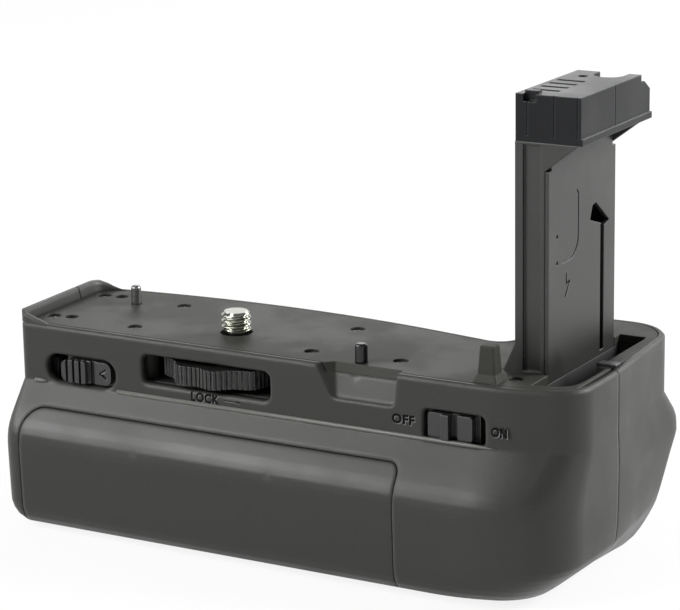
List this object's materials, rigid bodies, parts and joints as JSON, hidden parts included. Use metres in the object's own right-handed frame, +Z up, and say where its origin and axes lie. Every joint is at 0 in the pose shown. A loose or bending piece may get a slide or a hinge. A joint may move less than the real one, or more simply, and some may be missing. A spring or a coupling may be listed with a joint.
{
  "type": "camera battery grip",
  "caption": "Battery grip that screws under a camera: a flared body with a pull-out tray for flat batteries, a lobed lock wheel and a tall tower that enters the camera.",
  "frame": {"origin": "the camera screw's axis at the deck's top face", "axes": "+X along the grip towards the tower end, +Y towards the lens side, +Z up into the camera"},
  "size_m": [0.1333, 0.0694, 0.1015],
  "materials": {
    "black_plastic": "fine grained black",
    "deck_black": "fine satin black",
    "tower_black": "smooth satin black",
    "black_steel": "blackened",
    "bright_steel": "bright turned",
    "contact_metal": "gilt",
    "board": "lacquered"
  },
  "bodies": {
    "housing": {"rear_shell": "black_plastic", "front_shell": "black_plastic", "deck_plate": "deck_black", "deck_screws": "black_steel", "locating_pin_left": "bright_steel", "locating_pin_right": "bright_steel", "wheel_bracket": "black_plastic", "bracket_screws": "black_steel", "release_spring": "bright_steel", "power_switch_body": "black_plastic", "main_board": "board", "chassis": "black_plastic", "bottom_screws": "black_steel", "tower_column": "tower_black", "tower_cover": "tower_black", "tower_head": "tower_black", "tower_head_screw": "black_steel", "tower_foot_screws": "black_steel", "tower_board": "board", "tower_contacts": "contact_metal", "storage_pocket": "black_plastic", "door_clip": "black_plastic", "bay_contact_block": "black_plastic", "bay_contact_pins": "contact_metal", "tripod_socket": "contact_metal", "shutter_switch": "black_plastic", "jack_socket": "black_plastic"},
    "lock_wheel": {"lock_wheel": "black_plastic", "camera_screw": "bright_steel", "screw_retaining_ring": "bright_steel"},
    "release": {"release_slider": "black_plastic", "release_latch": "black_plastic"},
    "power_knob": {"power_switch_knob": "black_plastic"},
    "tray": {"battery_tray": "black_plastic", "tray_panel": "black_plastic", "tray_screws": "black_steel", "battery_springs": "bright_steel"},
    "button": {"shutter_button": "black_plastic"}
  },
  "joints": [
    {"name": "lock_wheel_turn", "type": "hinge", "parent": "housing", "child": "lock_wheel", "pos_m": [0, 0, 0], "axis": [0, 0, 1], "continuous": true},
    {"name": "release_slide", "type": "slide", "parent": "housing", "child": "release", "axis": [-1, 0, 0], "range_m": [0, 0.0038], "stiffness_N_per_m": 150, "springref_m": -0.002, "deforming": ["release_spring"]},
    {"name": "power_switch_slide", "type": "slide", "parent": "housing", "child": "power_knob", "axis": [1, 0, 0], "range_m": [0, 0.0019]},
    {"name": "tray_slide", "type": "slide", "parent": "housing", "child": "tray", "axis": [0, -1, 0], "range_m": [0, 0.058]},
    {"name": "shutter_press", "type": "slide", "parent": "housing", "child": "button", "axis": [-0.1642, -0.9312, 0.3256], "range_m": [0, 0.0008], "stiffness_N_per_m": 600, "springref_m": -0.0005}
  ]
}
